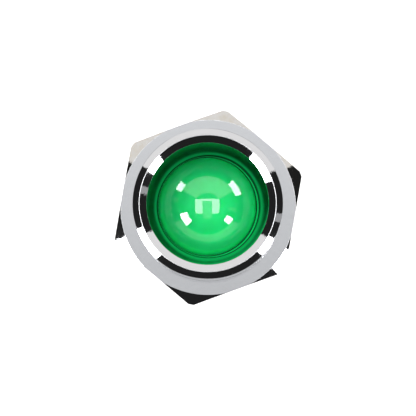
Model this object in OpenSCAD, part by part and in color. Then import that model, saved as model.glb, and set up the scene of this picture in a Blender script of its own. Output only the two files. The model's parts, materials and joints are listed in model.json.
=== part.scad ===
// Panel pilot light: a plated hexagonal bezel with a tall round collar, a
// domed lens recessed in it, and a pull-out bayonet lamp holder behind.
// Millimetres. The origin is the centre of the panel's front face, which the
// gasket lies on; +Z points out of the panel, towards the viewer.

/* [Bezel] */
// Across the flats of the hexagonal head
hex_af = 22; // [21.8:0.1:27]
// Thickness of the hexagonal head
hex_t = 4; // [2.5:0.1:6]
// How much the head's corners are turned down, true with the thread
hex_corner_cut = 0.2; // [0:0.05:0.6]
// Height of the collar's ridge above the head
collar_h = 8; // [7.2:0.1:12]
// Outer diameter of the collar
collar_d = 18.7; // [17.8:0.1:21.5]
// Radial width of the bevel outside the ridge
bevel_out_w = 0.8; // [0.4:0.05:0.9]
// Radial width of the bevel inside the ridge
bevel_in_w = 0.87; // [0.4:0.01:0.9]
// Slope of both bevels and of the head's corner chamfer, degrees
bevel_deg = 30; // [20:1:40]
// Radial width of the rounded ridge between the bevels
crest_w = 0.1; // [0.05:0.05:0.6]
// Thickness of the lip that the lens is pushed up against
lip_t = 0.7; // [0.5:0.05:1.2]

/* [Thread barrel] */
// Diameter of the threaded barrel
barrel_d = 17.9; // [16.8:0.1:19]
// Length of the barrel behind the panel's front face
barrel_l = 16; // [15:0.1:24]
// Bore of the barrel
bore_d = 14; // [13.6:0.1:14.6]
// Thread pitch
pitch = 1; // [0.75:0.25:1.5]
// Thickness of the panel that the light is shown clamped for
panel_t = 2; // [1.2:0.1:5]

/* [Lens] */
// Outer radius of the dome
dome_r = 6.3; // [5.6:0.05:6.4]
// Wall of the dome
dome_wall = 1.3; // [0.8:0.05:1.6]
// How far the dome's top stays below the ridge
dome_recess = 0.7; // [0.2:0.05:2]
// Thickness of the lens flange
lens_flange_t = 1.2; // [0.8:0.05:1.6]
// Thickness of the sealing ring under the lip
lens_seal_t = 0.4; // [0.3:0.05:0.8]
// Thickness of the snap ring that holds the lens
snap_t = 0.7; // [0.5:0.05:1]
// Depth of the snap ring's groove
snap_groove = 0.45; // [0.3:0.05:0.6]

/* [Panel fixings] */
// Thickness of the panel gasket
gasket_t = 0.8; // [0.5:0.05:1.5]
// Outer diameter of the panel gasket
gasket_d = 21.6; // [20.5:0.1:21.8]
// Thickness of the lock washer's sheet
washer_t = 0.6; // [0.4:0.05:0.8]
// Outer diameter of the lock washer
washer_d = 21.4; // [21:0.1:26]
// Radial length of the washer's teeth
tooth_l = 1; // [0.7:0.05:1.3]
// Number of teeth
tooth_n = 18; // [12:1:22]
// Twist of each tooth, degrees
tooth_twist = 18; // [8:1:24]
// Thickness of the mounting nut
nut_t = 3.5; // [2.5:0.1:5]
// Across the flats of the mounting nut
nut_af = 21.5; // [20.5:0.1:27]

/* [Lamp holder] */
// Depth of the moulded plug inside the barrel
plug_l = 5; // [4:0.1:6]
// Diameter of the finger flange
flange_d = 17.2; // [16:0.1:20]
// Thickness of the finger flange
flange_t = 2.4; // [1.8:0.1:4]
// Number of grip flutes round the flange
flute_n = 24; // [16:1:30]
// Diameter of the boss behind the flange
boss_d = 15.4; // [14.8:0.1:16]
// Height of the boss
boss_l = 3.1; // [2.4:0.1:5]
// Thickness of the barrier rib between the terminals
rib_t = 0.8; // [0.6:0.05:1.1]
// Height of the barrier rib
rib_h = 3; // [1.5:0.1:5]
// Wire diameter of the grip spring
grip_wire_d = 0.7; // [0.5:0.05:0.8]
// Outer diameter of the socket shell
shell_d = 7.9; // [7.8:0.05:8.1]
// Wall of the socket shell
shell_wall = 0.35; // [0.3:0.01:0.4]
// Height of the shell above its foot
shell_l = 11; // [10.5:0.1:12]
// Turn of the bayonet slot, degrees
slot_turn = 38; // [30:1:50]
// How far the lamp is pushed in to unlock
push_travel = 0.9; // [0.6:0.05:1]

/* [Terminals] */
// Thickness of the terminal strip
strip_t = 0.5; // [0.4:0.05:0.8]
// Width of the terminal strip
strip_w = 3.2; // [2.4:0.1:4]
// Length of the solder tags behind the boss
tag_l = 9.5; // [7:0.1:14]
// Diameter of the wire hole in each tag
wire_hole_d = 1.6; // [1.2:0.1:2]
// Rivet shank diameter
rivet_d = 1.5; // [1.2:0.1:1.6]
// Rivet head diameter
rivet_head_d = 2.4; // [2:0.1:2.6]

/* [Lamp] */
// Diameter of the glass
glass_d = 6.8; // [6:0.1:7]
// Wall of the glass
glass_wall = 0.4; // [0.3:0.05:0.6]
// Length of glass in front of the base
glass_l = 11.6; // [9:0.1:12]
// Length of the metal base
base_l = 8; // [7.5:0.1:9]
// Height of the bayonet pins above the base's end
pin_h = 3.4; // [3:0.1:4]
// Diameter of the bayonet pins
pin_d = 1.2; // [1:0.1:1.3]

/* [Clearances] */
// Radial clearance of the nut and washer on the thread
thread_clear = 0.05; // [0.02:0.01:0.1]
// Radial clearance of the lens and its ring in the bore
lens_clear = 0.1; // [0.05:0.01:0.2]
// Radial clearance of the plug in the bore
plug_clear = 0.15; // [0.1:0.01:0.25]
// Radial clearance of the lamp and contact disc in the shell
lamp_clear = 0.1; // [0.05:0.01:0.15]
// Gap between parts that seat on one another
seat_gap = 0.05; // [0.02:0.01:0.1]

/* [Hidden] */
$fn = 96;
bite = 0.2;                 // overlap of two shapes joined into one piece
far = 60;                   // longer than anything that it cuts
rod_fn = 24;                // facets round wires and flutes
hole_fn = 32;               // facets round small holes and pins
bend_fn = 48;               // facets round bends and rivet heads

// Heights along the axis, from the gasket forward
head_z = gasket_t;
face_z = head_z + hex_t;
ridge_z = face_z + collar_h;
dome_z = ridge_z - dome_recess - dome_r;
lip_z = dome_z - lip_t;

// Head and collar outline
hex_corner_r = hex_af / sqrt(3) - hex_corner_cut;
corner_land = 0.1;          // from the flats' circle to the corner chamfer's
head_flat_r = hex_af / 2 + corner_land;
collar_r = collar_d / 2;
crest_out_r = collar_r - bevel_out_w;
crest_in_r = crest_out_r - crest_w;
mouth_r = crest_in_r - bevel_in_w;
crest_rise = crest_w / 2 * tan(bevel_deg / 2);
bevel_out_drop = crest_rise + bevel_out_w * tan(bevel_deg);
bevel_in_drop = crest_rise + bevel_in_w * tan(bevel_deg);
lip_r = dome_r + lens_clear;
cone_ledge = 0.05;          // flat ledge at the foot of the polished cone
cone_foot_r = lip_r + cone_ledge;

// Barrel and lens seat
barrel_r = barrel_d / 2;
bore_r = bore_d / 2;
relief_depth = 0.6;         // undercut where the thread runs out at the head
relief_l = 1.2;
end_chamfer = 0.6;
bore_chamfer = 0.3;
lens_flange_r = bore_r - lens_clear;
flange_top_z = lip_z - lens_seal_t;
flange_foot_z = flange_top_z - lens_flange_t;
snap_z = flange_foot_z - seat_gap - snap_t;
snap_out_r = bore_r + snap_groove - seat_gap;
snap_w = 1.05;              // radial width of the snap ring
snap_gap_deg = 40;
dome_in_r = dome_r - dome_wall;

// Washer and nut behind the panel
barrel_clear_r = barrel_r + thread_clear;
tooth_w = 1.05;
tooth_half_h = (tooth_w * sin(tooth_twist) + washer_t * cos(tooth_twist)) / 2;
washer_mid_z = -panel_t - seat_gap - tooth_half_h;
washer_ring_in_r = barrel_clear_r + thread_clear + tooth_l;
nut_front_z = washer_mid_z - tooth_half_h - seat_gap;
nut_flat_r = nut_af / 2 - corner_land;
nut_lead_in = 0.5;

// Holder
plug_r = bore_r - plug_clear;
barrel_end_z = -barrel_l;
plug_top_z = barrel_end_z + plug_l;
flange_z = barrel_end_z - seat_gap;
socket_sink = 0.2;          // from the flange's front face down to the socket's floor
floor_z = flange_z - socket_sink;
boss_z = flange_z - flange_t;
rear_z = boss_z - boss_l;
shell_r = shell_d / 2;
shell_in_r = shell_r - shell_wall;
shell_bore_r = shell_r + seat_gap;
shell_mouth_z = floor_z + shell_l;
shell_flare = 0.35;
slot_play = 0.15;           // round the pins in their slots
slot_w = pin_d + 2 * slot_play;
well_r = 2.3;
grip_z = plug_top_z - plug_l / 2;
grip_wire_r = grip_wire_d / 2;
grip_mean_r = bore_r - seat_gap - grip_wire_r;
grip_groove_r = grip_mean_r - grip_wire_r - seat_gap;
grip_gap_deg = 34;
foot_t = 0.4;
foot_w = 2.6;
rivet_out = 0.15;           // from the shell to the rivet's head
rivet_x = shell_r + rivet_out + rivet_head_d / 2;
rivet_hole_r = rivet_d / 2 + seat_gap;
rivet_head_t = 0.6;
rivet_hollow_r = 0.34;      // of the turned-over end
notch_room = 0.35;          // on each side of a rivet's head
notch_w = rivet_head_d + 2 * notch_room;
flute_r = 0.55;
mould_edge = 0.25;          // eased edge of the moulded holder

// Terminals
strip_bend_r = 0.9;
strip_out_x = rivet_x + rivet_head_d / 2 + strip_bend_r + seat_gap;
pad_r = well_r + 0.25;      // the round pad that closes the spring's well
rib_gap = 0.35;             // from the barrier rib to either terminal
rib_x = -pad_r - rib_gap - rib_t;
shell_foot_x = rivet_x - rivet_head_d / 2;
tag_end_z = rear_z - tag_l;
wire_hole_in = 0.4;         // from the round end's centre to the wire hole's
wire_hole_z = tag_end_z + strip_w / 2 + wire_hole_in;

// Lamp, standing on the contact with its pins in the notches
base_r = shell_in_r - lamp_clear;
disc_travel_left = 0.2;
disc_t = 1;
disc_z = floor_z + push_travel + disc_travel_left;
plunger_head_t = 0.7;
plunger_head_r = 1.5;
plunger_stem_r = 0.7;
plunger_stem_l = 1.5;       // behind the disc, inside the spring's top turns
spring_coil_r = 1.75;
spring_wire_r = 0.2;
spring_turns = 7;
spring_gap = 0.02;          // from its end turns to what they press on
contact_z = disc_z + disc_t + plunger_head_t + seat_gap;
contact_t = 0.4;
insulator_z = contact_z + contact_t;
contact_tip_r = 0.8;
contact_rim_r = 1.1;
insulator_show = 0.6;
insulator_tip_r = 1.8;
insulator_in = 1.2;         // how far it reaches into the base
base_z = insulator_z + insulator_show;
base_top_z = base_z + base_l;
pin_z = base_z + pin_h;
pin_reach = shell_r + 0.3;  // past the shell's outside
pin_low_z = pin_z - push_travel - pin_d / 2;
base_wall = 0.3;
glass_r = glass_d / 2;
glass_foot_z = base_top_z + seat_gap;
glass_dome_z = glass_foot_z + glass_l - glass_r;
neck_r = base_r - base_wall - seat_gap;
neck_l = 3.2;
wire_x = 0.9;
wire_r = 0.2;
filament_z = glass_dome_z - 1.6;
filament_turns = 9;
filament_coil_r = 0.14;
filament_wire_r = 0.05;
filament_foot = 0.2;        // above the wires' ends
filament_bow = 0.6;
bead_z = filament_z - 3;
bead_r = 0.55;

// Points of an arc about c, from a0 to a1 in n steps
function arc(c, r, a0, a1, n) =
    [for (i = [0:n]) c + r * [cos(a0 + (a1 - a0) * i / n), sin(a0 + (a1 - a0) * i / n)]];

// A flat ring
module ring(r_out, r_in, z, h) {
    translate([0, 0, z]) difference() {
        cylinder(r = r_out, h = h);
        translate([0, 0, -bite]) cylinder(r = r_in, h = h + 2 * bite);
    }
}

// A ring-shaped wedge of a_deg centred on angle at, to open a ring with
module opening_wedge(at, a_deg, z, h) {
    translate([0, 0, z]) linear_extrude(h)
        polygon([[0, 0], for (a = [-1, 1]) far * [cos(at + a * a_deg / 2), sin(at + a * a_deg / 2)]]);
}

// A wire of radius r round a list of points, with n sides
module wire(path, r, n) {
    last = len(path) - 1;
    rings = [for (i = [0:last])
        let (ahead = path[min(i + 1, last)] - path[max(i - 1, 0)],
             t = ahead / norm(ahead),
             side = cross(t, abs(t.z) > 0.9 ? [1, 0, 0] : [0, 0, 1]),
             u = side / norm(side), v = cross(u, t))
        for (k = [0:n - 1]) path[i] + r * (cos(360 * k / n) * u + sin(360 * k / n) * v)];
    walls = [for (i = [0:last - 1], k = [0:n - 1])
        [i * n + k, i * n + (k + 1) % n, (i + 1) * n + (k + 1) % n, (i + 1) * n + k]];
    polyhedron(rings, concat(walls, [[for (k = [n - 1:-1:0]) k], [for (k = [0:n - 1]) last * n + k]]));
}

// A hexagonal prism with a turned chamfer on one end or on both
module turned_hex(af, corner_r, chamfer_r, z, h, both) {
    drop = (corner_r - chamfer_r) * tan(bevel_deg);
    intersection() {
        translate([0, 0, z]) cylinder(r = af / sqrt(3), h = h, $fn = 6);
        rotate_extrude() polygon(concat(
            [[0, z]],
            both ? [[chamfer_r, z], [corner_r, z + drop]] : [[corner_r, z]],
            [[corner_r, z + h - drop], [chamfer_r, z + h], [0, z + h]]));
    }
}

// Everything turned on the bezel, as one outline
module bezel_outline() {
    polygon(concat(
        [[bore_r + bore_chamfer, barrel_end_z],
         [barrel_r - end_chamfer, barrel_end_z],
         [barrel_r, barrel_end_z + end_chamfer],
         [barrel_r, head_z - relief_l - relief_depth],
         [barrel_r - relief_depth, head_z - relief_l],
         [barrel_r - relief_depth, head_z + bite],
         [collar_r, head_z + bite],
         [collar_r, ridge_z - bevel_out_drop],
         [crest_out_r, ridge_z - crest_rise]],
        arc([(crest_out_r + crest_in_r) / 2, ridge_z - crest_w / 2 / sin(bevel_deg)],
            crest_w / 2 / sin(bevel_deg), 90 - bevel_deg, 90 + bevel_deg, 6),
        [[mouth_r, ridge_z - bevel_in_drop],
         [cone_foot_r, dome_z],
         [lip_r, dome_z],
         [lip_r, lip_z],
         [bore_r, lip_z],
         [bore_r, barrel_end_z + bore_chamfer]]));
}

module bezel_body() {
    color("silver") difference() {
        union() {
            rotate_extrude() bezel_outline();
            difference() {
                turned_hex(hex_af, hex_corner_r, head_flat_r, head_z, hex_t, false);
                translate([0, 0, head_z - bite]) cylinder(r = bore_r + bite, h = hex_t + 2 * bite);
            }
        }
        ring(bore_r + snap_groove, bore_r - bite, snap_z - seat_gap, snap_t + 2 * seat_gap);
    }
}

module lens() {
    color("limegreen") difference() {
        union() {
            intersection() {
                translate([0, 0, dome_z]) sphere(r = dome_r);
                translate([-far / 2, -far / 2, dome_z]) cube(far);
            }
            translate([0, 0, flange_foot_z]) cylinder(r = dome_r, h = dome_z - flange_foot_z);
            translate([0, 0, flange_foot_z]) cylinder(r = lens_flange_r, h = lens_flange_t);
        }
        translate([0, 0, dome_z]) sphere(r = dome_in_r);
        translate([0, 0, flange_foot_z - bite]) cylinder(r = dome_in_r, h = dome_z - flange_foot_z + bite);
    }
}

module lens_seal() {
    color("dimgray") ring(lens_flange_r, lip_r, flange_top_z, lens_seal_t);
}

module snap_ring() {
    color("slategray") difference() {
        ring(snap_out_r, snap_out_r - snap_w, snap_z, snap_t);
        opening_wedge(90, snap_gap_deg, snap_z - bite, snap_t + 2 * bite);
    }
}

module panel_gasket() {
    color("black") ring(gasket_d / 2, barrel_clear_r + thread_clear, 0, gasket_t);
}

module lock_washer() {
    color("lightsteelblue") union() {
        ring(washer_d / 2, washer_ring_in_r, washer_mid_z - washer_t / 2, washer_t);
        for (i = [0:tooth_n - 1])
            rotate([0, 0, (i + 0.5) * 360 / tooth_n])
                translate([washer_ring_in_r - tooth_l, 0, washer_mid_z])
                    rotate([tooth_twist, 0, 0])
                        translate([0, -tooth_w / 2, -washer_t / 2])
                            cube([tooth_l + bite, tooth_w, washer_t]);
    }
}

module mounting_nut() {
    color("gainsboro") difference() {
        turned_hex(nut_af, nut_af / sqrt(3), nut_flat_r, nut_front_z - nut_t, nut_t, true);
        translate([0, 0, nut_front_z - nut_t - bite]) cylinder(r = barrel_clear_r, h = nut_t + 2 * bite);
        translate([0, 0, nut_front_z - nut_lead_in])
            cylinder(r1 = barrel_clear_r, r2 = barrel_clear_r + nut_lead_in + bite, h = nut_lead_in + bite);
        translate([0, 0, nut_front_z - nut_t - bite])
            cylinder(r2 = barrel_clear_r, r1 = barrel_clear_r + nut_lead_in + bite, h = nut_lead_in + bite);
    }
}

// A disc with eased edges: top_edge in front, rear_edge behind
module eased_disc(r, z, h, top_edge, rear_edge) {
    translate([0, 0, z]) rotate_extrude() polygon([
        [0, 0], [r - rear_edge, 0], [r, rear_edge],
        [r, h - top_edge], [r - top_edge, h], [0, h]]);
}

module holder_body() {
    color("#2a211c") difference() {
        union() {
            eased_disc(plug_r, flange_z - bite, plug_top_z - flange_z + bite, mould_edge, 0);
            difference() {
                eased_disc(flange_d / 2, boss_z, flange_t, mould_edge, mould_edge);
                for (i = [0:flute_n - 1])
                    rotate([0, 0, (i + 0.5) * 360 / flute_n])
                        translate([flange_d / 2 + flute_r / 2, 0, boss_z - bite])
                            cylinder(r = flute_r, h = flange_t + 2 * bite, $fn = rod_fn);
            }
            eased_disc(boss_d / 2, rear_z, boss_l + bite, 0, mould_edge);
            intersection() {
                translate([rib_x, -far / 2, rear_z - rib_h]) cube([rib_t, far, rib_h + mould_edge]);
                eased_disc(boss_d / 2 - mould_edge, rear_z - rib_h, rib_h + mould_edge, 0, mould_edge);
            }
        }
        translate([0, 0, floor_z]) cylinder(r = shell_bore_r, h = far);
        translate([0, 0, pin_low_z - slot_play]) cylinder(r = pin_reach + seat_gap, h = far);
        translate([0, 0, -far]) cylinder(r = well_r, h = far);
        ring(plug_r + bite, grip_groove_r, grip_z - grip_wire_r - seat_gap, grip_wire_d + 2 * seat_gap);
        for (side = [-1, 1]) {
            translate([side * rivet_x, 0, rear_z - bite]) cylinder(r = rivet_hole_r, h = far, $fn = hole_fn);
            translate([side > 0 ? 0 : -far, -notch_w / 2, floor_z]) cube([far, notch_w, far]);
        }
    }
}

module grip_spring() {
    color("goldenrod") difference() {
        translate([0, 0, grip_z]) rotate_extrude()
            translate([grip_mean_r, 0]) circle(r = grip_wire_r, $fn = rod_fn);
        opening_wedge(90, grip_gap_deg, grip_z - 1, 2);
    }
}

// One of the shell's two slots: in at the mouth, round, and back up to the notch
module bayonet_slot() {
    notch_top_z = pin_z + pin_d / 2 + seat_gap;
    run_z = pin_low_z - slot_play;
    run_h = slot_w;
    end_deg = asin(slot_w / 2 / shell_r);
    translate([0, 0, run_z]) linear_extrude(run_h)
        polygon([[0, 0], for (a = [-end_deg, slot_turn / 2, slot_turn + end_deg])
            2 * shell_r * [cos(90 + a), sin(90 + a)]]);
    translate([-slot_w / 2, 0, run_z + run_h / 2])
        cube([slot_w, 2 * shell_r, notch_top_z - run_z - run_h / 2]);
    rotate([0, 0, slot_turn]) translate([-slot_w / 2, 0, run_z + run_h / 2])
        cube([slot_w, 2 * shell_r, shell_l]);
}

module socket_shell() {
    color("goldenrod") difference() {
        union() {
            rotate_extrude() polygon([
                [shell_in_r, floor_z], [shell_r, floor_z],
                [shell_r, shell_mouth_z - 2 * shell_flare],
                [shell_r + shell_flare, shell_mouth_z],
                [shell_in_r + shell_flare, shell_mouth_z],
                [shell_in_r, shell_mouth_z - 2 * shell_flare]]);
            difference() {
                translate([-rivet_x - rivet_head_d / 2, -foot_w / 2, floor_z])
                    cube([rivet_x + rivet_head_d / 2, foot_w, foot_t]);
                translate([0, 0, floor_z - bite]) cylinder(r = shell_in_r, h = foot_t + 2 * bite);
            }
        }
        translate([-rivet_x, 0, floor_z - bite])
            cylinder(r = rivet_hole_r, h = foot_t + 2 * bite, $fn = hole_fn);
        for (half = [0, 180]) rotate([0, 0, half]) bayonet_slot();
    }
}

module contact_disc() {
    color("sienna") ring(shell_in_r - lamp_clear, plunger_stem_r + seat_gap, disc_z, disc_t);
}

module contact_plunger() {
    color("gold") union() {
        translate([0, 0, disc_z + disc_t]) cylinder(r = plunger_head_r, h = plunger_head_t);
        translate([0, 0, disc_z - plunger_stem_l])
            cylinder(r = plunger_stem_r, h = plunger_stem_l + disc_t + bite);
    }
}

// A coil whose two end turns lie flat
module contact_spring() {
    steps = 14;
    low = rear_z + spring_wire_r + spring_gap;
    high = disc_z - spring_wire_r - spring_gap;
    rise = function (t) low + (high - low) * min(max((t - 1) / (spring_turns - 2), 0), 1);
    color("silver") wire([for (i = [0:spring_turns * steps])
        let (t = i / steps) [spring_coil_r * cos(360 * t), spring_coil_r * sin(360 * t), rise(t)]],
        spring_wire_r, 6);
}

// A terminal: a foot on the boss's rear face from foot_x outwards, and a tag.
// pad is the radius of the foot's round end about the axis, or 0
module terminal(foot_x, pad) {
    difference() {
        union() {
            if (pad > 0) translate([0, 0, rear_z - strip_t]) cylinder(r = pad, h = strip_t);
            rotate([90, 0, 0]) linear_extrude(strip_w, center = true) difference() {
                union() {
                    translate([foot_x, rear_z - strip_t])
                        square([strip_out_x - strip_bend_r - foot_x, strip_t]);
                    translate([strip_out_x - strip_t, tag_end_z + strip_w / 2])
                        square([strip_t, rear_z - strip_bend_r - tag_end_z - strip_w / 2]);
                    translate([strip_out_x - strip_bend_r, rear_z - strip_bend_r]) intersection() {
                        circle(r = strip_bend_r, $fn = bend_fn);
                        square(strip_bend_r);
                    }
                }
                translate([strip_out_x - strip_bend_r, rear_z - strip_bend_r])
                    circle(r = strip_bend_r - strip_t, $fn = bend_fn);
            }
            translate([strip_out_x - strip_t, 0, tag_end_z + strip_w / 2])
                rotate([0, 90, 0]) cylinder(r = strip_w / 2, h = strip_t);
        }
        translate([rivet_x, 0, rear_z - strip_t - bite])
            cylinder(r = rivet_hole_r, h = strip_t + 2 * bite, $fn = hole_fn);
        translate([strip_out_x - strip_t - bite, 0, wire_hole_z])
            rotate([0, 90, 0]) cylinder(d = wire_hole_d, h = strip_t + 2 * bite);
    }
}

module terminal_centre() {
    color("khaki") terminal(0, pad_r);
}

module terminal_shell() {
    color("khaki") mirror([1, 0, 0]) terminal(shell_foot_x, 0);
}

// A rivet from the head's seat at z down through the terminal
module rivet(z) {
    difference() {
        union() {
            translate([0, 0, rear_z - strip_t - rivet_head_t])
                cylinder(d = rivet_d, h = z - rear_z + strip_t + 2 * rivet_head_t - bite, $fn = hole_fn);
            translate([0, 0, z]) cylinder(d = rivet_head_d, h = rivet_head_t, $fn = bend_fn);
            translate([0, 0, rear_z - strip_t - rivet_head_t])
                cylinder(d = rivet_head_d, h = rivet_head_t, $fn = bend_fn);
        }
        translate([0, 0, rear_z - strip_t - rivet_head_t - bite])
            cylinder(r = rivet_hollow_r, h = 2 * rivet_head_t, $fn = hole_fn);
    }
}

module terminal_rivets() {
    color("darkkhaki") union() {
        translate([rivet_x, 0, 0]) rivet(floor_z);
        translate([-rivet_x, 0, 0]) rivet(floor_z + foot_t);
    }
}

module lamp_base() {
    color("burlywood") difference() {
        union() {
            translate([0, 0, base_z]) cylinder(r = base_r, h = base_l);
            translate([0, 0, pin_z]) rotate([90, 0, 0])
                cylinder(d = pin_d, h = 2 * pin_reach, center = true, $fn = hole_fn);
        }
        translate([0, 0, base_z - bite]) cylinder(r = base_r - base_wall, h = base_l + 2 * bite);
    }
}

module lamp_glass() {
    color([0.85, 0.9, 0.95, 0.5]) difference() {
        union() {
            translate([0, 0, glass_foot_z]) cylinder(r = glass_r, h = glass_dome_z - glass_foot_z);
            intersection() {
                translate([0, 0, glass_dome_z]) sphere(r = glass_r);
                translate([-far / 2, -far / 2, glass_dome_z]) cube(far);
            }
            translate([0, 0, glass_foot_z - neck_l]) cylinder(r = neck_r, h = neck_l + bite);
        }
        translate([0, 0, glass_dome_z]) sphere(r = glass_r - glass_wall);
        translate([0, 0, glass_foot_z + 2 * glass_wall])
            cylinder(r = glass_r - glass_wall, h = glass_dome_z - glass_foot_z - 2 * glass_wall);
        for (side = [-1, 1]) translate([side * wire_x, 0, glass_foot_z - neck_l - bite])
            cylinder(r = wire_r + seat_gap, h = neck_l + 2 * glass_wall + 2 * bite, $fn = rod_fn);
    }
}

module lamp_insulator() {
    color("darkslategray") translate([0, 0, insulator_z]) union() {
        cylinder(r1 = insulator_tip_r, r2 = neck_r, h = insulator_show);
        translate([0, 0, insulator_show]) cylinder(r = neck_r, h = insulator_in);
    }
}

module lamp_contact() {
    color("silver") translate([0, 0, contact_z]) union() {
        cylinder(r1 = contact_tip_r, r2 = contact_rim_r, h = contact_t / 2);
        translate([0, 0, contact_t / 2]) cylinder(r = contact_rim_r, h = contact_t / 2);
    }
}

module lamp_wires() {
    foot_z = insulator_z + insulator_show + insulator_in;
    color("lightgray") for (side = [-1, 1])
        translate([side * wire_x, 0, foot_z]) cylinder(r = wire_r, h = filament_z - foot_z, $fn = rod_fn);
}

module lamp_bead() {
    color("powderblue") difference() {
        translate([0, 0, bead_z]) rotate([0, 90, 0])
            cylinder(r = bead_r, h = 2 * (wire_x + bead_r), center = true, $fn = hole_fn);
        for (side = [-1, 1]) translate([side * wire_x, 0, bead_z - 2 * bead_r])
            cylinder(r = wire_r + seat_gap, h = 4 * bead_r, $fn = rod_fn);
    }
}

// The filament: a fine coil bowed up between the wires' ends
module lamp_filament() {
    steps = 8;
    last = filament_turns * steps;
    color("dimgray") wire([for (i = [0:last]) let (t = i / last, a = 360 * i / steps)
        [wire_x * (2 * t - 1), filament_coil_r * cos(a),
         filament_z + filament_foot + filament_bow * sin(180 * t) + filament_coil_r * sin(a)]],
        filament_wire_r, 5);
}

bezel_body();
lens();
lens_seal();
snap_ring();
panel_gasket();
lock_washer();
mounting_nut();
holder_body();
grip_spring();
socket_shell();
contact_disc();
contact_plunger();
contact_spring();
terminal_centre();
terminal_shell();
terminal_rivets();
lamp_base();
lamp_glass();
lamp_insulator();
lamp_contact();
lamp_wires();
lamp_bead();
lamp_filament();
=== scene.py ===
"""Looks of the panel pilot light: chrome bezel, green dome, panel fixings, lamp holder and studio."""
import json
import math

import bmesh
import bpy
from mathutils import Matrix, Vector


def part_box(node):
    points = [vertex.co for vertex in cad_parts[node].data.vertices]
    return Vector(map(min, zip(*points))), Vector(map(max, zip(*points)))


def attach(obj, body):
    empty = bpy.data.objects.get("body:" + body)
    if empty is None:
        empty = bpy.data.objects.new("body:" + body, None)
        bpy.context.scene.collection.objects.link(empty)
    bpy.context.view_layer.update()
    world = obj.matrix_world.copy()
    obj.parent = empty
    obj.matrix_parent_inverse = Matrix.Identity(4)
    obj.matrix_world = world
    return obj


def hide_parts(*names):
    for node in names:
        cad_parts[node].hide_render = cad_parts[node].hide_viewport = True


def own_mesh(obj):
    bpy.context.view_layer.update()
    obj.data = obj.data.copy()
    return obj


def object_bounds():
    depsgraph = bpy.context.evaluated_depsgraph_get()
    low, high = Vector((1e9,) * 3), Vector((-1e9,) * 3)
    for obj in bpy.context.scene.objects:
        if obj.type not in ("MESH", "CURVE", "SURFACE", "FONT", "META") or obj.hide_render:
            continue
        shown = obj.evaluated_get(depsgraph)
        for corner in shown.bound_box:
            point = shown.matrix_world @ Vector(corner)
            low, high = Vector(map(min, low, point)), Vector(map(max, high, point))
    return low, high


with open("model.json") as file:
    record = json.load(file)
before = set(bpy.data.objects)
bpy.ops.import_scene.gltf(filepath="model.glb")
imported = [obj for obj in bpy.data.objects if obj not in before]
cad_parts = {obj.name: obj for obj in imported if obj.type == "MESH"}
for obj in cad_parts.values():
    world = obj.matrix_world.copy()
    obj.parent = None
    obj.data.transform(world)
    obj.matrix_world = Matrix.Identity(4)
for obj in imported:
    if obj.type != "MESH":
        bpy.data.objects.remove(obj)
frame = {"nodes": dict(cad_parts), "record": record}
CAD_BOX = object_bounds()
MM = 0.001
TURN = 2 * math.pi

# ---------------------------------------------------------------- sizes, in millimetres


def span(node, axis):
    """Lowest and highest value of a CAD node along one axis, in millimetres."""
    low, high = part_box(node)
    return low[axis] / MM, high[axis] / MM


BARREL_END_Z, RIDGE_Z = span("bezel_body", 2)
HEAD_Z = span("panel_gasket", 2)[1]
HEX_CORNER_R = span("bezel_body", 0)[1]
HEX_FLAT_R = span("bezel_body", 1)[1]
FLANGE_FOOT_Z, DOME_TOP_Z = span("lens", 2)
FLANGE_R = span("lens", 0)[1]
SEAL_FOOT_Z, LIP_Z = span("lens_seal", 2)
SNAP_FOOT_Z, SNAP_TOP_Z = span("snap_ring", 2)
NUT_FOOT_Z, NUT_TOP_Z = span("mounting_nut", 2)
NUT_CORNER_R = span("mounting_nut", 0)[1]
SPRING_FOOT_Z, SPRING_TOP_Z = span("contact_spring", 2)
SPRING_R = span("contact_spring", 0)[1]
JOINTS = {joint["name"]: joint for joint in frame["record"]["behaviour"]["joints"]}

# The head, the collar and the lens in it.
HEX_T = 4.0
FACE_Z = HEAD_Z + HEX_T
COLLAR_R = 9.35
BEVEL_OUT_W = 0.8
BEVEL_IN_W = 0.87
CREST_W = 0.1
CORNER_LAND = 0.1
BEVEL_DEGREES = 30
BEVEL_ANGLE = math.radians(BEVEL_DEGREES)
DOME_R = 6.3
DOME_WALL = 1.3
DOME_Z = DOME_TOP_Z - DOME_R
LENS_CLEAR = 0.1
SEAT_GAP = 0.05
LIP_R = DOME_R + LENS_CLEAR
CONE_LEDGE = 0.05
CONE_FOOT_R = LIP_R + CONE_LEDGE
CONE_MOUTH_R = COLLAR_R - BEVEL_OUT_W - CREST_W - BEVEL_IN_W
BORE_R = FLANGE_R + LENS_CLEAR
CONE_BEND = 0.067
SNAP_GROOVE_DEPTH = 0.45
SNAP_GROOVE_R = BORE_R + SNAP_GROOVE_DEPTH

# The barrel and its thread. A flank's steepness and a crest's land shape the thread's wave.
BARREL_R = 8.95
RELIEF_DEPTH = 0.6
RELIEF_L = 1.2
END_CHAMFER = 0.6
BORE_CHAMFER = 0.3
PITCH = 1.0
THREAD_DEPTH = 0.55
THREAD_STEEPNESS = 1.35
THREAD_LAND = 0.22
THREAD_END_TURNS = 0.6

# The mounting nut and the contact spring.
THREAD_CLEAR = 0.05
NUT_BORE_R = BARREL_R + THREAD_CLEAR
NUT_LEAD_IN = 0.5
NUT_CORNER_EASE = 0.06
SPRING_WIRE_R = 0.2
SPRING_TURNS = 7

# Edges: a corner's radius, the radius of the head's crisp ones, and the strip that is held flat beside each.
# A corner and its strip take no more than these shares of the run that they stand on.
EDGE_R = 0.05
SHARP_R = 0.015
HOLD = 0.03
EDGE_SHARE = 0.42
HOLD_SHARE = 0.48
# Points that are closer than this are joined.
WELD = 1.5e-3

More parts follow.
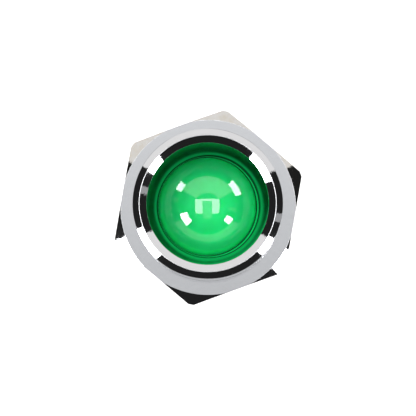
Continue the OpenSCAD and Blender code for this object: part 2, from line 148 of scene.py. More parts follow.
# How finely round stretches are drawn. Where a hexagon's flat meets a corner, extra angles stand close by.
SEGMENTS = 288
EDGE_STEPS = 4
CREST_STEPS = 10
CONE_STEPS = 48
DOME_STEPS = 72
DOME_INSIDE_STEPS = 48
THREAD_ROWS_PER_MM = 10
COIL_STEPS = 48
WIRE_SIDES = 12
HEX_SIDE = math.pi / 3
HEX_FLAT_STEPS = 40
HEX_CORNER_STEPS = 3
HEX_MEETING = math.radians(0.12)

# The photograph's right and up directions in the part's frame: the head is rolled 20 degrees.
ROLL = math.radians(20)
RIGHT = Vector((math.cos(ROLL), -math.sin(ROLL), 0))
UP = Vector((math.sin(ROLL), math.cos(ROLL), 0))
AXIS = Vector((0, 0, 1))


def across(azimuth):
    """Direction across the axis at an azimuth, in degrees anticlockwise from the photograph's right."""
    a = math.radians(azimuth)
    return RIGHT * math.cos(a) + UP * math.sin(a)


# The lens's painted glow and colour are brighter on one side, and it stands off the axis by most of its
# clearance.
GLOW_SIDE = across(300)
LENS_OFF_AXIS = 0.08
LENS_SHIFT = across(195) * LENS_OFF_AXIS

# ---------------------------------------------------------------- mesh helpers


def soften(outline, closed=True, sharp=()):
    """Rounds each corner of an outline of (r, z) points; sharp names the corners with the smaller radius.
    Every corner gives the same number of points, with a holding point on each side, so that the flat runs
    between corners shade flat."""
    points = []
    last = len(outline) - 1
    for i, corner in enumerate(outline):
        if not closed and i in (0, last):
            points.append(corner)
            continue
        here = Vector(corner)
        before, after = Vector(outline[i - 1]) - here, Vector(outline[(i + 1) % len(outline)]) - here
        radius = SHARP_R if i in sharp else EDGE_R
        cut = min(radius, EDGE_SHARE * before.length, EDGE_SHARE * after.length)
        into, out = before.normalized(), after.normalized()
        points.append(tuple(here + into * min(cut + HOLD, HOLD_SHARE * before.length)))
        for k in range(EDGE_STEPS + 1):
            t = k / EDGE_STEPS
            points.append(tuple(here + into * cut * (1 - t) ** 2 + out * cut * t * t))
        points.append(tuple(here + out * min(cut + HOLD, HOLD_SHARE * after.length)))
    return points


def arc(centre, radius, start, end, steps):
    """Points of an arc in the (r, z) plane. Angles in degrees."""
    angles = [math.radians(start + (end - start) * i / steps) for i in range(steps + 1)]
    return [(centre[0] + radius * math.cos(a), centre[1] + radius * math.sin(a)) for a in angles]


def ring_mesh(name, columns, angles, closed_outline=True):
    """A mesh from outlines set round the axis: columns[i] is the outline of (r, z) at angles[i]."""
    mesh = bmesh.new()
    grid = [[mesh.verts.new((r * math.cos(a) * MM, r * math.sin(a) * MM, z * MM)) for r, z in column]
            for column, a in zip(columns, angles)]
    rows = len(columns[0])
    for i, here in enumerate(grid):
        there = grid[(i + 1) % len(grid)]
        for j in range(rows if closed_outline else rows - 1):
            k = (j + 1) % rows
            mesh.faces.new((here[j], there[j], there[k], here[k]))
    bmesh.ops.remove_doubles(mesh, verts=mesh.verts, dist=WELD * MM)
    bmesh.ops.dissolve_degenerate(mesh, edges=mesh.edges, dist=1e-8)
    bmesh.ops.recalc_face_normals(mesh, faces=mesh.faces)
    return finish_mesh(name, mesh)


def revolve(name, outline):
    """A turned piece, from an outline that starts and ends on the axis."""
    angles = [TURN * i / SEGMENTS for i in range(SEGMENTS)]
    return ring_mesh(name, [outline] * SEGMENTS, angles, closed_outline=False)


def finish_mesh(name, mesh):
    """Makes an object with smooth shading from a bmesh."""
    data = bpy.data.meshes.new(name)
    mesh.to_mesh(data)
    mesh.free()
    for polygon in data.polygons:
        polygon.use_smooth = True
    piece = bpy.data.objects.new(name, data)
    bpy.context.scene.collection.objects.link(piece)
    return piece


# ---------------------------------------------------------------- node helpers


class Nodes:
    """A material's node tree, with short calls for the nodes that this scene uses."""

    def __init__(self, name):
        self.material = bpy.data.materials.new(name)
        self.material.use_nodes = True
        self.tree = self.material.node_tree
        self.shader = self.tree.nodes["Principled BSDF"]
        self.output = self.tree.nodes["Material Output"]
        self.coords = self.tree.nodes.new("ShaderNodeTexCoord").outputs["Object"]

    def add(self, kind, **settings):
        node = self.tree.nodes.new(kind)
        for key, value in settings.items():
            setattr(node, key, value)
        return node

    def link(self, source, target):
        self.tree.links.new(source, target)

    def base(self, **values):
        """Sets constants straight on the shader's sockets."""
        for key, value in values.items():
            self.shader.inputs[key.replace("_", " ")].default_value = value
        return self

    def noise(self, scale, detail=4.0, roughness=0.55, stretch=None):
        """Noise over object space; scale counts features per metre."""
        node = self.add("ShaderNodeTexNoise")
        node.inputs["Scale"].default_value = scale
        node.inputs["Detail"].default_value = detail
        node.inputs["Roughness"].default_value = roughness
        self.link(self.stretched(stretch), node.inputs["Vector"])
        return node.outputs["Fac"]

    def stretched(self, stretch):
        """The object-space coordinates, scaled by axis where a stretch is given."""
        if stretch is None:
            return self.coords
        node = self.add("ShaderNodeMapping")
        node.inputs["Scale"].default_value = stretch
        self.link(self.coords, node.inputs["Vector"])
        return node.outputs["Vector"]

    def math(self, operation, a, b):
        """One operation on two values, each a number or an output."""
        node = self.add("ShaderNodeMath", operation=operation)
        for value, socket in ((a, node.inputs[0]), (b, node.inputs[1])):
            if isinstance(value, (int, float)):
                socket.default_value = value
            else:
                self.link(value, socket)
        return node.outputs[0]

    def split(self):
        """The object-space coordinates as X, Y and Z outputs."""
        node = self.add("ShaderNodeSeparateXYZ")
        self.link(self.coords, node.inputs[0])
        return node.outputs

    def radius(self):
        """Distance from the thread axis, in millimetres."""
        parts = self.split()
        flat = self.add("ShaderNodeCombineXYZ")
        self.link(parts["X"], flat.inputs["X"])
        self.link(parts["Y"], flat.inputs["Y"])
        length = self.add("ShaderNodeVectorMath", operation="LENGTH")
        self.link(flat.outputs[0], length.inputs[0])
        return self.math("MULTIPLY", length.outputs["Value"], 1 / MM)

    def height(self):
        """Height along the thread axis, in millimetres."""
        return self.math("MULTIPLY", self.split()["Z"], 1 / MM)

    def along(self, direction):
        """Distance from the axis along a direction across it, in millimetres."""
        node = self.add("ShaderNodeVectorMath", operation="DOT_PRODUCT")
        self.link(self.coords, node.inputs[0])
        node.inputs[1].default_value = direction / MM
        return node.outputs["Value"]

    def times(self, a, b):
        """One colour output times another."""
        node = self.add("ShaderNodeVectorMath", operation="MULTIPLY")
        self.link(a, node.inputs[0])
        self.link(b, node.inputs[1])
        return node.outputs["Vector"]

    def rings(self, scale, wobble):
        """Fine rings round the axis, as turning or moulding leaves them."""
        node = self.add("ShaderNodeTexNoise", noise_dimensions="1D")
        node.inputs["Scale"].default_value = scale * MM
        node.inputs["Detail"].default_value = 2.0
        drift = self.math("MULTIPLY", self.noise(300, 2), wobble)
        self.link(self.math("ADD", self.radius(), drift), node.inputs["W"])
        return node.outputs["Fac"]

    def tinted(self, colour, factor):
        """A colour, or a colour output, times a number."""
        node = self.add("ShaderNodeVectorMath", operation="SCALE")
        if isinstance(colour, tuple):
            node.inputs[0].default_value = colour
        else:
            self.link(colour, node.inputs[0])
        self.link(factor, node.inputs["Scale"])
        return node.outputs["Vector"]

    def range(self, value, low, high, to_low, to_high):
        """A value taken from one range to another, and held at its ends."""
        node = self.add("ShaderNodeMapRange")
        self.link(value, node.inputs["Value"])
        for key, number in (("From Min", low), ("From Max", high), ("To Min", to_low), ("To Max", to_high)):
            node.inputs[key].default_value = number
        return node.outputs["Result"]

    def ramp(self, value, *stops):
        """A colour ramp through (position, (r, g, b)) stops."""
        node = self.add("ShaderNodeValToRGB")
        elements = node.color_ramp.elements
        while len(elements) < len(stops):
            elements.new(0.5)
        for element, (position, colour) in zip(elements, stops):
            element.position = position
            element.color = (*colour, 1.0)
        self.link(value, node.inputs["Fac"])
        return node.outputs["Color"]

    def bump(self, *layers):
        """Bump from (height, strength, distance in millimetres) layers."""
        normal = None
        for height, strength, distance in layers:
            node = self.add("ShaderNodeBump")
            node.inputs["Strength"].default_value = strength
            node.inputs["Distance"].default_value = distance * MM
            self.link(height, node.inputs["Height"])
            if normal is not None:
                self.link(normal, node.inputs["Normal"])
            normal = node.outputs["Normal"]
        self.link(normal, self.shader.inputs["Normal"])
        return self


# ---------------------------------------------------------------- materials

# Strengths of the glow painted on the lens at its foot and in its crescent.
LENS_FOOT_GLOW = 0.39
LENS_CRESCENT_GLOW = 0.16
# How far past the cone's foot the painted shade on the chrome reaches.
FOOT_SHADE_SPREAD = 0.3


def chrome():
    """Bright chrome plate: a mirror with a breath of haze and a slight ripple from the polishing. Painted
    shade makes the corner round the lens's foot nearly black, deeper on one side, and the head's upper
    corners have a thin yellow film."""
    n = Nodes("bezel_chrome").base(Metallic=1.0)
    # Painted shade: the chrome turns nearly black in the corner round the lens's foot, in a band that reaches
    # higher on one side.
    shade_height = n.range(n.along(across(15)), -2.0, 6.4, 0.12, 0.70)
    above = n.math("SUBTRACT", n.math("SUBTRACT", n.height(), DOME_Z), shade_height)
    outside = n.math("GREATER_THAN", n.radius(), CONE_FOOT_R + FOOT_SHADE_SPREAD)
    unshaded = n.math("MAXIMUM", n.range(above, 0.0, 0.14, 0.015, 1.0), outside)
    film = n.math("MULTIPLY", n.range(n.radius(), HEX_FLAT_R + 0.05, HEX_FLAT_R + 0.2, 0.0, 1.0),
                  n.range(n.along(UP), -3, 3, 0.0, 1.0))
    blotches = n.range(n.noise(520, 5, 0.7), 0.38, 0.62, 0.35, 1.0)
    yellowed = n.ramp(n.math("MULTIPLY", film, blotches), (0.0, (1, 1, 1)), (1.0, (0.93, 0.885, 0.79)))
    n.link(n.times(n.tinted((0.615, 0.62, 0.64), unshaded), yellowed), n.shader.inputs["Base Color"])
    haze = n.noise(260, 5)
    n.link(n.range(haze, 0.35, 0.75, 0.03, 0.07), n.shader.inputs["Roughness"])
    marks = n.noise(9000, 2, stretch=(0.05, 0.05, 1.0))
    n.bump((n.noise(1500, 3), 0.10, 0.05), (marks, 0.015, 0.02))
    return n.material


def green_lens():
    """Translucent green acrylic under a polished skin. Its light and shade are painted: emission paints a
    glow low on one side, in a crescent and at its foot. The colour is painted brighter on that side and
    darker from the crown outward, and between the glows its edge is painted darker."""
    n = Nodes("lens_green")
    n.base(Roughness=0.04, IOR=1.49, Subsurface_Weight=0.85, Subsurface_Scale=0.0014,
           Coat_Weight=1.0, Coat_Roughness=0.015, Coat_IOR=1.5)
    n.shader.inputs["Subsurface Radius"].default_value = (0.2, 1.0, 0.45)
    height = n.height()
    from_crown = n.range(n.radius(), 0.0, DOME_R, 0.0, 1.0)
    # Painted shade: the colour darkens from the crown towards the edge, then is painted light again at the
    # foot.
    radial_shade = n.ramp(from_crown, (0.0, (0.030, 0.65, 0.200)), (0.32, (0.020, 0.62, 0.175)),
                   (0.58, (0.010, 0.56, 0.145)), (0.70, (0.008, 0.46, 0.125)), (0.80, (0.008, 0.45, 0.120)),
                   (0.88, (0.008, 0.50, 0.125)), (0.95, (0.008, 0.80, 0.165)))
    # Painted shade: a darker band round the dome's side, above its foot.
    side = n.ramp(n.range(height, DOME_Z, DOME_Z + 2.0, 0.0, 1.0), (0.0, (1, 1, 1)), (0.15, (0.9, 0.9, 0.9)),
                  (0.25, (0.5, 0.5, 0.5)), (0.36, (0.30, 0.30, 0.30)), (0.60, (0.30, 0.30, 0.30)),
                  (0.80, (0.7, 0.7, 0.7)), (0.98, (1, 1, 1)))
    # Painted light: one side is brighter, both in the colour and in the foot's glow.
    glow_side = n.range(n.along(GLOW_SIDE), -DOME_R, DOME_R, 0.70, 1.30)
    shade = n.math("MULTIPLY", glow_side, n.range(n.noise(420, 3), 0.3, 0.7, 0.94, 1.06))
    n.link(n.tinted(n.times(radial_shade, side), shade), n.shader.inputs["Base Color"])
    # Painted glow: the lens gives light though it is no lamp, at its foot and in a crescent low on one side.
    n.shader.inputs["Emission Color"].default_value = (0.010, 0.85, 0.20, 1)
    foot = n.range(height, DOME_Z + 0.3, DOME_Z + 0.75, LENS_FOOT_GLOW, 0.0)
    belt = n.ramp(from_crown, (0.50, (0, 0, 0)), (0.60, (1, 1, 1)), (0.72, (1, 1, 1)), (0.84, (0, 0, 0)))
    low_side = n.range(n.along(across(275)), 1.2, 4.0, 0.0, LENS_CRESCENT_GLOW)
    crescent = n.math("MULTIPLY", belt, low_side)
    n.link(n.math("ADD", n.math("MULTIPLY", foot, glow_side), crescent), n.shader.inputs["Emission Strength"])
    rings = n.rings(5200, 0.05)
    n.bump((n.noise(800, 2), 0.01, 0.03), (rings, 0.02, 0.02))
    return n.material


def rubber(name, colour):
    """Matt moulded rubber with fine dust-catching grain."""
    n = Nodes(name).base(IOR=1.5)
    grain = n.noise(5200, 3)
    light = tuple(min(1.0, c * 1.9 + 0.01) for c in colour)
    n.link(n.ramp(n.noise(600, 5), (0.3, colour), (0.75, light)), n.shader.inputs["Base Color"])
    n.link(n.range(grain, 0.3, 0.7, 0.62, 0.86), n.shader.inputs["Roughness"])
    n.bump((grain, 0.25, 0.05), (n.noise(300, 2), 0.1, 0.08))
    return n.material


def metal(name, low, high, roughness, grain=(1, 1, 1), marks=0.12, scale=3000):
    """Worked metal: colour drifts between two tones, and the tool's marks run along the grain."""
    n = Nodes(name).base(Metallic=1.0)
    n.link(n.ramp(n.noise(350, 6, 0.65), (0.32, low), (0.68, high)), n.shader.inputs["Base Color"])
    lines = n.noise(scale, 3, stretch=grain)
    uneven = n.range(n.noise(520, 5), 0.3, 0.7, roughness * 0.75, roughness * 1.35)
    n.link(uneven, n.shader.inputs["Roughness"])
    n.bump((lines, marks, 0.03), (n.noise(240, 3), 0.06, 0.08))
    return n.material


def phenolic():
    """Black-brown moulded phenolic: wood-flour mottle, a dull shine and faint flow marks."""
    n = Nodes("holder_phenolic").base(IOR=1.6, Coat_Weight=0.25, Coat_Roughness=0.18)
    mottle = n.noise(1500, 6, 0.7)
    brown = n.ramp(mottle, (0.30, (0.016, 0.011, 0.009)), (0.62, (0.040, 0.027, 0.020)),
                   (0.8, (0.075, 0.050, 0.034)))
    n.link(brown, n.shader.inputs["Base Color"])
    n.link(n.range(n.noise(420, 4), 0.3, 0.7, 0.30, 0.46), n.shader.inputs["Roughness"])
    n.bump((mottle, 0.07, 0.04), (n.noise(160, 2), 0.08, 0.12))
    return n.material


def fibre():
    """Red-brown vulcanised fibre with its pressed strands."""
    n = Nodes("disc_fibre")
    strands = n.noise(2600, 6, stretch=(1, 0.25, 1))
    red_brown = n.ramp(strands, (0.3, (0.20, 0.075, 0.035)), (0.7, (0.36, 0.16, 0.08)))
    n.link(red_brown, n.shader.inputs["Base Color"])
    n.base(Roughness=0.62)
    n.bump((n.noise(3200, 3), 0.2, 0.04))
    return n.material


def clear_glass(name, colour, roughness=0.02):
    """Lamp glass with the slight waviness of drawn tube."""
    n = Nodes(name).base(Base_Color=(*colour, 1), Transmission_Weight=1.0, IOR=1.5)
    n.link(n.range(n.noise(300, 2), 0.3, 0.7, roughness, roughness * 2), n.shader.inputs["Roughness"])
    n.bump((n.noise(220, 2, stretch=(1, 1, 0.2)), 0.05, 0.1))
    return n.material


def vitrite():
    """Black glass insulator of the lamp's end."""
    n = Nodes("lamp_insulator_black").base(IOR=1.55)
    n.link(n.ramp(n.noise(900, 4), (0.3, (0.008, 0.008, 0.010)), (0.7, (0.03, 0.028, 0.034))),
           n.shader.inputs["Base Color"])
    n.link(n.range(n.noise(700, 3), 0.3, 0.7, 0.08, 0.22), n.shader.inputs["Roughness"])
    n.bump((n.noise(500, 3), 0.1, 0.1))
    return n.material


def dress(node, material):
    """Gives a carried-over CAD node its material."""
    for slot in frame["nodes"][node].material_slots:
        slot.material = material


def place(piece, body, slot, material, *nodes):
    """Finishes a new piece: its material, the body it rides on, and the CAD nodes it stands for."""
    piece.data.materials.append(material)
    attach(piece, body)
    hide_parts(*nodes)
    return piece


# ---------------------------------------------------------------- bezel


def hex_radius(angle, flat_r, corner_r):
    """Radius of a hexagon's side at an angle: its flats, cut by the turned corners."""
    from_flat = angle % HEX_SIDE - HEX_SIDE / 2
    return min(flat_r / math.cos(from_flat), corner_r)


def thread_rows(angle):
    """The M18 x 1 thread as (r, z) rows down the barrel at one angle, running out at both ends."""
    top = HEAD_Z - RELIEF_L - RELIEF_DEPTH
    bottom = BARREL_END_Z + END_CHAMFER
    rows = int((top - bottom) * THREAD_ROWS_PER_MM)
    points = []
    for i in range(1, rows):
        z = top + (bottom - top) * i / rows
        phase = (z / PITCH - angle / TURN) % 1.0
        rise = min(max(abs(phase - 0.5) * 2 * THREAD_STEEPNESS - THREAD_LAND, 0), 1)
        rise = rise * rise * (3 - 2 * rise)
        run_out = min((top - z) / PITCH, (z - bottom) / (THREAD_END_TURNS * PITCH), 1)
        points.append((BARREL_R - THREAD_DEPTH * rise * max(run_out, 0), z))
    return points


def cone_wall(mouth_z):
    """Points up the polished cone, which is steeper at its mouth than at its foot."""
    rise = mouth_z - DOME_Z
    mean = (CONE_MOUTH_R - CONE_FOOT_R) / rise
    points = []
    for i in range(1, CONE_STEPS):
        t = i / CONE_STEPS
        bulge = CONE_BEND * rise * t * (1 - t)
        points.append((CONE_FOOT_R + mean * rise * t + bulge, DOME_Z + rise * t))
    return points


def bezel_column(angle):
    """The bezel's whole outline at one angle: from the lip over the collar, then back down the barrel."""
    crest_out_r = COLLAR_R - BEVEL_OUT_W
    crest_in_r = crest_out_r - CREST_W
    crest_radius = CREST_W / 2 / math.sin(BEVEL_ANGLE)
    crest_rise = CREST_W / 2 * math.tan(BEVEL_ANGLE / 2)
    slope = math.tan(BEVEL_ANGLE)
    out_z, in_z = (RIDGE_Z - crest_rise - w * slope for w in (BEVEL_OUT_W, BEVEL_IN_W))
    side_r = hex_radius(angle, HEX_FLAT_R, HEX_CORNER_R)
    chamfer_r = min(HEX_FLAT_R + CORNER_LAND, side_r)
    chamfer_z = FACE_Z - (side_r - chamfer_r) * slope
    groove_low_z, groove_top_z = SNAP_FOOT_Z - SEAT_GAP, SNAP_TOP_Z + SEAT_GAP
    inside = [(BORE_R, groove_top_z), (BORE_R, LIP_Z), (LIP_R, LIP_Z), (LIP_R, DOME_Z), (CONE_FOOT_R, DOME_Z)]
    mouth = [(CONE_FOOT_R, DOME_Z), (CONE_MOUTH_R, in_z), (crest_in_r, RIDGE_Z - crest_rise)]
    crest = arc(((crest_out_r + crest_in_r) / 2, RIDGE_Z - crest_radius), crest_radius,
                90 + BEVEL_DEGREES, 90 - BEVEL_DEGREES, CREST_STEPS)
    outside = [(crest_out_r, RIDGE_Z - crest_rise), (COLLAR_R, out_z), (COLLAR_R, FACE_Z),
               (chamfer_r, FACE_Z), (side_r, chamfer_z), (side_r, HEAD_Z), (BARREL_R - RELIEF_DEPTH, HEAD_Z),
               (BARREL_R - RELIEF_DEPTH, HEAD_Z - RELIEF_L), (BARREL_R, HEAD_Z - RELIEF_L - RELIEF_DEPTH)]
    end = [(BARREL_R, BARREL_END_Z + END_CHAMFER), (BARREL_R - END_CHAMFER, BARREL_END_Z),
           (BORE_R + BORE_CHAMFER, BARREL_END_Z), (BORE_R, BARREL_END_Z + BORE_CHAMFER),
           (BORE_R, groove_low_z), (SNAP_GROOVE_R, groove_low_z), (SNAP_GROOVE_R, groove_top_z)]
    # The crest's own points are already round, so they stay as they are between two softened runs.
    front = soften(inside, closed=False) + cone_wall(in_z) + soften(mouth, closed=False)[1:]
    back = soften(outside, closed=False, sharp=(2, 3, 4, 5))
    return front[:-1] + crest + back[1:] + thread_rows(angle) + soften(end, closed=False)


def hex_angles(flat_r, corner_r):
    """Angles round a hexagon, with extra ones where its flats meet its turned corners."""
    half = math.acos(flat_r / corner_r)
    marks = [-HEX_SIDE / 2, -half - HEX_MEETING, -half, -half + HEX_MEETING,
             half - HEX_MEETING, half, half + HEX_MEETING, HEX_SIDE / 2]
    counts = (HEX_CORNER_STEPS, 1, 1, HEX_FLAT_STEPS, 1, 1, HEX_CORNER_STEPS)
    angles = set()
    for side in range(6):
        middle = HEX_SIDE / 2 + side * HEX_SIDE
        for a, b, steps in zip(marks, marks[1:], counts):
            angles.update(round((middle + a + (b - a) * i / steps) % TURN, 7) for i in range(steps))
    return sorted(angles)


def bezel(material):
    angles = hex_angles(HEX_FLAT_R, HEX_CORNER_R)
    piece = ring_mesh("bezel_turned", [bezel_column(a) for a in angles], angles)
    return place(piece, "bezel", "bezel_chrome", material, "bezel_body")


# ---------------------------------------------------------------- nut and contact spring


def nut_column(angle, flat_r, corner_r):
    """The nut's outline at one angle: a chamfered hexagon round a bore with a lead-in at each end."""
    side_r = hex_radius(angle, flat_r, corner_r)
    chamfer_r = flat_r - CORNER_LAND
    drop = (side_r - chamfer_r) * math.tan(BEVEL_ANGLE)
    lead_r = NUT_BORE_R + NUT_LEAD_IN
    return soften([
        (NUT_BORE_R, NUT_FOOT_Z + NUT_LEAD_IN), (lead_r, NUT_FOOT_Z), (chamfer_r, NUT_FOOT_Z),
        (side_r, NUT_FOOT_Z + drop), (side_r, NUT_TOP_Z - drop), (chamfer_r, NUT_TOP_Z),
        (lead_r, NUT_TOP_Z), (NUT_BORE_R, NUT_TOP_Z - NUT_LEAD_IN)])


def nut(material):
    flat_r = NUT_CORNER_R * math.cos(HEX_SIDE / 2)
    corner_r = NUT_CORNER_R - NUT_CORNER_EASE
    angles = hex_angles(flat_r, corner_r)
    piece = ring_mesh("nut_eased", [nut_column(a, flat_r, corner_r) for a in angles], angles)
    return place(piece, "nut", "nut_nickel", material, "mounting_nut")


def tube(name, path, radius, sides):
    """A round wire along a path of points, in millimetres, closed at both ends."""
    mesh = bmesh.new()
    rings = []
    for i, here in enumerate(path):
        ahead = (path[min(i + 1, len(path) - 1)] - path[max(i - 1, 0)]).normalized()
        side = ahead.cross(AXIS).normalized()
        up = side.cross(ahead)
        turns = [TURN * k / sides for k in range(sides)]
        spots = [here + (side * math.cos(t) + up * math.sin(t)) * radius for t in turns]
        rings.append([mesh.verts.new(spot * MM) for spot in spots])
    for low, high in zip(rings, rings[1:]):
        for k in range(sides):
            j = (k + 1) % sides
            mesh.faces.new((low[k], low[j], high[j], high[k]))
    mesh.faces.new(rings[0][::-1])
    mesh.faces.new(rings[-1])
    bmesh.ops.recalc_face_normals(mesh, faces=mesh.faces)
    return finish_mesh(name, mesh)


def contact_spring(material):
    """The coil behind the contact disc, its end turns flat, drawn at one length on a mesh of its own; the
    real coil shortens as the lamp is pushed in.
    """
    coil_r = SPRING_R - SPRING_WIRE_R
    low, high = SPRING_FOOT_Z + SPRING_WIRE_R, SPRING_TOP_Z - SPRING_WIRE_R
    path = []
    for i in range(SPRING_TURNS * COIL_STEPS + 1):
        turn = i / COIL_STEPS
        climb = min(max((turn - 1) / (SPRING_TURNS - 2), 0), 1)
        angle = TURN * turn
        path.append(Vector((coil_r * math.cos(angle), coil_r * math.sin(angle), low + (high - low) * climb)))
    piece = tube("contact_spring_coil", path, SPRING_WIRE_R, WIRE_SIDES)
    place(piece, "holder", "contact_spring_steel", material, "contact_spring")
    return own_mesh(piece)


# ---------------------------------------------------------------- lens


def lens(material):
    """The dome, its skirt and its flange, as one closed moulding."""
    inner_r = DOME_R - DOME_WALL
    outer = arc((0, DOME_Z), DOME_R, 90, 0, DOME_STEPS)
    skirt = [(DOME_R, SEAL_FOOT_Z), (FLANGE_R, SEAL_FOOT_Z),
             (FLANGE_R, FLANGE_FOOT_Z), (inner_r, FLANGE_FOOT_Z)]
    inner = arc((0, DOME_Z), inner_r, 0, 90, DOME_INSIDE_STEPS)
    piece = revolve("lens_dome", outer + skirt + inner)
    piece.data.transform(Matrix.Translation(LENS_SHIFT * MM))
    return place(piece, "bezel", "lens_green", material, "lens")


# ---------------------------------------------------------------- studio, in metres

HOLDER_TRAVEL = JOINTS["holder_pull"]["range_m"][1]
FLOOR_Z = CAD_BOX[0].z - HOLDER_TRAVEL
FLOOR_HALF = 3.0
FLOOR_GLOW = 0.55
WORLD_LIGHT = 0.5
FOCUS = Vector((0, 0, FACE_Z * MM))
AIM_BELOW = 0.095 * MM
AIM_LEFT = 0.025 * MM
AIM = FOCUS - UP * AIM_BELOW - RIGHT * AIM_LEFT
CAMERA_DISTANCE = 0.350
CAMERA_DIP = math.radians(3.45)
CAMERA_SIDE = math.radians(0.5)
CAMERA_LENS = 239
# The surround's bands: middle and half width in degrees from +X, and level of light.
SURROUND_BANDS = ((-148, 12, 0.12), (-82, 18, 0.05), (-12, 8, 0.30), (48, 15, 0.07), (118, 12, 0.10))
SURROUND_SOFT = 11
SURROUND_LIGHT = 0.92
SURROUND_STEPS = 72
# The surround's rows lie just above the floor, and its rim, at (radius, height), stands up from it.
SURROUND_RADII = (0.045, 0.15, 0.70)
SURROUND_RIM = (0.74, 0.018)
# Inside the first of these radii, in millimetres, the surround is plain, and past the second it is banded.
SURROUND_FADE = (45, 90)


def camera():
    """Looks almost straight down the axis, from a little below it, with a long lens."""
    data = bpy.data.cameras.new("camera")
    data.lens = CAMERA_LENS
    data.sensor_width = 36
    data.clip_start = 0.01
    data.clip_end = 10
    eye = bpy.data.objects.new("camera", data)
    bpy.context.scene.collection.objects.link(eye)
    back = (AXIS - UP * math.tan(CAMERA_DIP) + RIGHT * math.tan(CAMERA_SIDE)).normalized()
    right = UP.cross(back).normalized()
    up = back.cross(right)
    spot = AIM + back * CAMERA_DISTANCE
    eye.matrix_world = Matrix([(right[i], up[i], back[i], spot[i]) for i in range(3)] + [(0, 0, 0, 1)])
    bpy.context.scene.camera = eye


def toward(azimuth, off_axis):
    """Direction at an azimuth, as across() counts it, and an angle off the axis."""
    o = math.radians(off_axis)
    return AXIS * math.cos(o) + across(azimuth) * math.sin(o)


def emitter(name):
    """The nodes of a material that only gives light, and the inputs of its emission."""
    n = Nodes(name)
    n.tree.nodes.remove(n.shader)
    light = n.add("ShaderNodeEmission")
    n.link(light.outputs[0], n.output.inputs["Surface"])
    return n, light.inputs


def glow(name, colour, strength):
    """Emission of one colour."""
    n, light = emitter(name)
    light["Color"].default_value = (*colour, 1)
    light["Strength"].default_value = strength
    return n.material


def card(name, material, points, lights=True):
    """A studio card through a grid of points. The camera doesn't see it; metal and gloss do. Without lights
    it is hidden from matt surfaces too."""
    mesh = bmesh.new()
    rows = [[mesh.verts.new(p) for p in row] for row in points]
    for low, high in zip(rows, rows[1:]):
        for i in range(len(low) - 1):
            mesh.faces.new((low[i], low[i + 1], high[i + 1], high[i]))
    piece = finish_mesh(name, mesh)
    piece.data.materials.append(material)
    piece.visible_camera = False
    piece.visible_diffuse = lights
    piece.visible_shadow = False
    return piece


def sector(name, colour, strength, azimuths, off_axes, distance, lights=True, steps=8):
    """A card that covers a range of azimuths and of angles off the axis."""
    (a0, a1), (o0, o1) = azimuths, off_axes
    points = [[FOCUS + toward(a0 + (a1 - a0) * i / steps, o0 + (o1 - o0) * j / steps) * distance
               for i in range(steps + 1)] for j in range(steps + 1)]
    return card(name, glow(name, colour, strength), points, lights)


def fading_glow(name, colour, low, high):
    """Emission that climbs along the photograph's up direction: low and high are (mm, strength)."""
    n, light = emitter(name)
    light["Color"].default_value = (*colour, 1)
    n.link(n.range(n.along(UP), low[0], high[0], low[1], high[1]), light["Strength"])
    return n.material


def window(name, material, sideways, upwards, distance):
    """A flat card in front of the part, set by its angles sideways and upwards in the photograph."""
    xs, ys = [[math.tan(math.radians(v)) for v in pair] for pair in (sideways, upwards)]
    points = [[FOCUS + (AXIS + RIGHT * x + UP * y) * distance for x in xs] for y in ys]
    return card(name, material, points)


def surround():
    """A low ring on the floor that only metal and gloss see. Its grey bands give plated sides their edges."""
    n, light = emitter("surround")
    parts = n.split()
    turn = n.math("ARCTAN2", parts["Y"], parts["X"])
    stops = []
    for centre, half, band_level in SURROUND_BANDS:
        edges = ((-half - SURROUND_SOFT, SURROUND_LIGHT), (-half, band_level),
                 (half, band_level), (half + SURROUND_SOFT, SURROUND_LIGHT))
        stops += [((centre + side) / 360 + 0.5, (level,) * 3) for side, level in edges]
    bands = n.ramp(n.range(turn, -math.pi, math.pi, 0.0, 1.0), *stops)
    near = n.range(n.radius(), *SURROUND_FADE, SURROUND_LIGHT, 0.0)
    n.link(n.math("MAXIMUM", bands, near), light["Color"])
    rows = [(r, FLOOR_Z + MM) for r in SURROUND_RADII] + [SURROUND_RIM]
    turns = [TURN * i / SURROUND_STEPS for i in range(SURROUND_STEPS + 1)]
    points = [[Vector((r * math.cos(t), r * math.sin(t), z)) for t in turns] for r, z in rows]
    ring = card("surround", n.material, points, lights=False)
    ring.visible_transmission = False


def studio():
    """Everything round the part: a dark room that only gloss sees, lights, the surround, floor and world."""
    sector("dark_room", (1, 1, 1), 0.022, (0, 360), (0.01, 89), 0.75, lights=False, steps=48)
    sector("softbox_left", (1, 1, 1), 15.0, (196, 224), (50, 73), 0.6, lights=False)
    sector("softbox_right", (1, 1, 1), 15.0, (319, 335), (51, 73), 0.6, lights=False)
    sector("wall_above", (1.0, 0.985, 0.965), 1.15, (30, 147), (29, 84), 0.6)
    sector("side_gleam", (1, 1, 1), 0.5, (349, 356), (50, 70), 0.6)
    window("front_window", glow("front_window", (1, 1, 1), 5.5), (-28, 28), (-19, 15), 0.55)
    stand = fading_glow("camera_stand", (0.985, 0.995, 1.0), (2, 0.80), (52, 1.0))
    window("camera_stand", stand, (-11, 11), (-30, 10), 0.45)
    surround()
    white_floor()
    white_world()


def seen_rays(tree):
    """An output that is 1 for what is seen straight, mirrored or through glass, and 0 for lighting."""
    path = tree.nodes.new("ShaderNodeLightPath").outputs
    seen = path["Is Camera Ray"]
    for kind in ("Is Glossy Ray", "Is Transmission Ray"):
        either = tree.nodes.new("ShaderNodeMath")
        either.operation = "MAXIMUM"
        tree.links.new(seen, either.inputs[0])
        tree.links.new(path[kind], either.inputs[1])
        seen = either.outputs[0]
    return seen


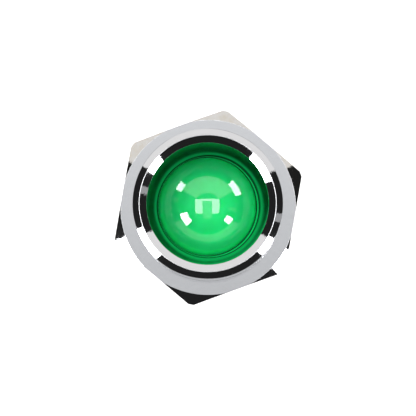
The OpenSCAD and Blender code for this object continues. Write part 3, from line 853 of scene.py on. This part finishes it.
def white_floor():
    """A white floor that keeps the part's shadow."""
    n = Nodes("floor_white").base(Roughness=0.9)
    n.link(n.range(n.noise(30, 3), 0.3, 0.7, 0.80, 0.82), n.shader.inputs["Base Color"])
    n.shader.inputs["Emission Color"].default_value = (1, 1, 1, 1)
    n.link(n.math("MULTIPLY", seen_rays(n.tree), FLOOR_GLOW), n.shader.inputs["Emission Strength"])
    data = bpy.data.meshes.new("floor")
    corners = [(-1, -1), (1, -1), (1, 1), (-1, 1)]
    data.from_pydata([(x * FLOOR_HALF, y * FLOOR_HALF, FLOOR_Z) for x, y in corners], [], [(0, 1, 2, 3)])
    floor = bpy.data.objects.new("floor", data)
    bpy.context.scene.collection.objects.link(floor)
    data.materials.append(n.material)


def white_world():
    """A white world that lights the part less than it shows."""
    world = bpy.data.worlds.new("world")
    world.use_nodes = True
    bpy.context.scene.world = world
    tree = world.node_tree
    background = tree.nodes["Background"]
    strength = tree.nodes.new("ShaderNodeMapRange")
    strength.inputs["To Min"].default_value = WORLD_LIGHT
    strength.inputs["To Max"].default_value = 1.0
    tree.links.new(seen_rays(tree), strength.inputs["Value"])
    tree.links.new(strength.outputs[0], background.inputs["Strength"])
    background.inputs["Color"].default_value = (1, 1, 1, 1)


# ---------------------------------------------------------------- the part


def fittings():
    """Materials of the CAD nodes whose own shape is shown."""
    brass = metal("shell_brass", (0.60, 0.42, 0.17), (0.76, 0.58, 0.27), 0.26)
    plating = metal("lamp_base_nickel", (0.52, 0.49, 0.44), (0.68, 0.65, 0.60), 0.22)
    tin = metal("terminal_tinned", (0.62, 0.61, 0.57), (0.76, 0.75, 0.71), 0.30, (1, 1, 0.1))
    steel = metal("spring_steel", (0.16, 0.16, 0.17), (0.30, 0.30, 0.31), 0.38)
    looks = {
        "lens_seal": rubber("seal_rubber", (0.012, 0.012, 0.012)),
        "snap_ring": steel,
        "panel_gasket": rubber("gasket_rubber", (0.018, 0.018, 0.018)),
        "lock_washer": metal("washer_zinc", (0.56, 0.57, 0.59), (0.72, 0.73, 0.74), 0.27),
        "holder_body": phenolic(),
        "grip_spring": metal("grip_bronze", (0.44, 0.27, 0.13), (0.60, 0.42, 0.22), 0.28),
        "socket_shell": brass,
        "contact_disc": fibre(),
        "contact_plunger": metal("plunger_brass", (0.62, 0.44, 0.19), (0.78, 0.60, 0.30), 0.2),
        "terminal_centre": tin,
        "terminal_shell": tin,
        "terminal_rivets": metal("rivet_brass", (0.55, 0.38, 0.17), (0.72, 0.54, 0.26), 0.3),
        "lamp_base": plating,
        "lamp_glass": clear_glass("lamp_glass_clear", (0.97, 0.985, 0.98)),
        "lamp_insulator": vitrite(),
        "lamp_contact": metal("lamp_solder", (0.42, 0.42, 0.43), (0.58, 0.58, 0.59), 0.42),
        "lamp_wires": metal("lamp_lead_wire", (0.42, 0.42, 0.42), (0.56, 0.56, 0.56), 0.3),
        "lamp_bead": clear_glass("lamp_bead_glass", (0.50, 0.66, 0.74), 0.08),
        "lamp_filament": metal("filament_tungsten", (0.08, 0.08, 0.085), (0.16, 0.16, 0.165), 0.4),
    }
    for node, material in looks.items():
        dress(node, material)


camera()
studio()
bezel(chrome())
lens(green_lens())
nut(metal("nut_nickel", (0.56, 0.53, 0.48), (0.68, 0.65, 0.60), 0.15, (1, 1, 0.2), 0.05))
contact_spring(metal("contact_spring_steel", (0.48, 0.48, 0.48), (0.62, 0.62, 0.62), 0.24))
fittings()
bpy.context.scene.view_settings.view_transform = "Standard"
